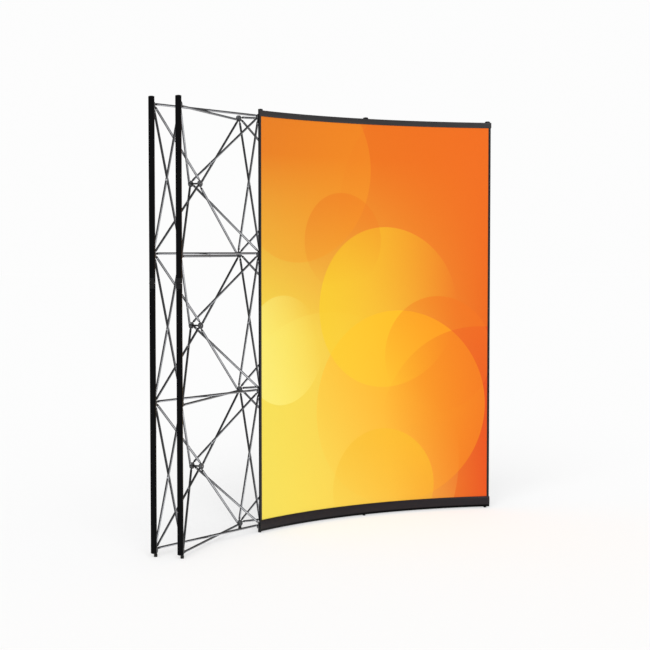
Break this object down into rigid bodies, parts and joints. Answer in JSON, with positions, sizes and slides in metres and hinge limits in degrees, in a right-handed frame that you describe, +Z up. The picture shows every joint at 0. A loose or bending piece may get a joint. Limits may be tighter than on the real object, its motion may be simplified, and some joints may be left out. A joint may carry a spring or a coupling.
{
  "type": "pop up display backwall",
  "caption": "Curved scissor-lattice display wall on rubber feet, with folding end bars and one curved graphic panel hooked over its front bars.",
  "frame": {"origin": "on the floor, under the middle of the wall's box", "axes": "+Z up, the hollow front faces -Y, +X to the right seen from the front"},
  "size_m": [2.4418, 0.508, 2.283],
  "materials": {
    "hub_nylon": "moulded grey nylon",
    "strut_tube": "drawn aluminium tube, natural anodised",
    "tip_nylon": "moulded black nylon",
    "zinc_steel": "zinc-plated steel",
    "bar_black": "black anodised aluminium box section",
    "black_plug": "moulded black plastic",
    "black_steel": "black coated steel",
    "foot_rubber": "black rubber",
    "print_film": "laminated print, satin",
    "rail_charcoal": "charcoal anodised aluminium rail",
    "magnet_strip": "flexible magnet strip"
  },
  "bodies": {
    "frame": {"front_hubs_1": "hub_nylon", "front_hubs_2": "hub_nylon", "front_hubs_3": "hub_nylon", "front_hubs_4": "hub_nylon", "rear_hubs_1": "hub_nylon", "rear_hubs_2": "hub_nylon", "rear_hubs_3": "hub_nylon", "rear_hubs_4": "hub_nylon", "front_centre_hubs": "hub_nylon", "rear_centre_hubs": "hub_nylon", "lock_posts": "black_plug", "lock_magnets": "zinc_steel", "row_struts_left": "strut_tube", "row_struts_middle": "strut_tube", "row_struts_right": "strut_tube", "diagonal_struts_left": "strut_tube", "diagonal_struts_middle": "strut_tube", "diagonal_struts_right": "strut_tube", "column_struts_1": "strut_tube", "column_struts_2": "strut_tube", "column_struts_3": "strut_tube", "column_struts_4": "strut_tube", "edge_strut_tips": "tip_nylon", "diagonal_strut_tips": "tip_nylon", "hub_pins": "zinc_steel", "strut_rivets": "zinc_steel", "bar_pegs": "black_steel", "rubber_feet": "foot_rubber", "front_bar_1": "bar_black", "front_bar_2": "bar_black", "front_bar_3": "bar_black", "front_bar_splices": "black_plug", "front_bar_end_plugs": "black_plug", "left_front_bar_upper": "bar_black", "left_rear_bar_upper": "bar_black", "right_rear_bar_upper": "bar_black", "bar_upper_hinge_leaves": "black_steel", "bar_upper_hinge_pins": "zinc_steel", "bar_top_plugs": "black_plug"},
    "left_front_bar_middle_section": {"left_front_bar_middle": "bar_black", "left_front_bar_middle_fittings": "black_steel"},
    "left_front_bar_lower_section": {"left_front_bar_lower": "bar_black", "left_front_bar_lower_fittings": "black_steel"},
    "left_rear_bar_middle_section": {"left_rear_bar_middle": "bar_black", "left_rear_bar_middle_fittings": "black_steel"},
    "left_rear_bar_lower_section": {"left_rear_bar_lower": "bar_black", "left_rear_bar_lower_fittings": "black_steel"},
    "right_rear_bar_middle_section": {"right_rear_bar_middle": "bar_black", "right_rear_bar_middle_fittings": "black_steel"},
    "right_rear_bar_lower_section": {"right_rear_bar_lower": "bar_black", "right_rear_bar_lower_fittings": "black_steel"},
    "graphic": {"graphic_print": "print_film", "graphic_top_rail": "rail_charcoal", "graphic_bottom_rail": "rail_charcoal", "graphic_rail_caps": "black_plug", "graphic_side_trims": "black_plug", "graphic_magnet_strips": "magnet_strip", "graphic_hooks": "black_steel"}
  },
  "joints": [
    {"name": "graphic_lift", "type": "slide", "parent": "frame", "child": "graphic", "axis": [0, 0, 1], "range_m": [0, 0.03]},
    {"name": "left_front_bar_fold", "type": "hinge", "parent": "frame", "child": "left_front_bar_middle_section", "pos_m": [-1.13632, -0.2352, 1.364], "axis": [-0.527, 0.8499, 0], "range_deg": [0, 180]},
    {"name": "left_front_bar_tip_fold", "type": "hinge", "parent": "left_front_bar_middle_section", "child": "left_front_bar_lower_section", "pos_m": [-1.12272, -0.22677, 0.629], "axis": [-0.527, 0.8499, 0], "range_deg": [-180, 0]},
    {"name": "left_rear_bar_fold", "type": "hinge", "parent": "frame", "child": "left_rear_bar_middle_section", "pos_m": [-1.21115, -0.11452, 1.364], "axis": [-0.527, 0.8499, 0], "range_deg": [0, 180]},
    {"name": "left_rear_bar_tip_fold", "type": "hinge", "parent": "left_rear_bar_middle_section", "child": "left_rear_bar_lower_section", "pos_m": [-1.19755, -0.10609, 0.629], "axis": [-0.527, 0.8499, 0], "range_deg": [-180, 0]},
    {"name": "right_rear_bar_fold", "type": "hinge", "parent": "frame", "child": "right_rear_bar_middle_section", "pos_m": [1.21115, -0.11452, 1.364], "axis": [-0.527, -0.8499, 0], "range_deg": [0, 180]},
    {"name": "right_rear_bar_tip_fold", "type": "hinge", "parent": "right_rear_bar_middle_section", "child": "right_rear_bar_lower_section", "pos_m": [1.19755, -0.10609, 0.629], "axis": [-0.527, -0.8499, 0], "range_deg": [-180, 0]}
  ],
  "couplings": [
    {"joint": "left_front_bar_tip_fold", "follows": "left_front_bar_fold", "ratio": -1},
    {"joint": "left_rear_bar_tip_fold", "follows": "left_rear_bar_fold", "ratio": -1},
    {"joint": "right_rear_bar_tip_fold", "follows": "right_rear_bar_fold", "ratio": -1}
  ]
}
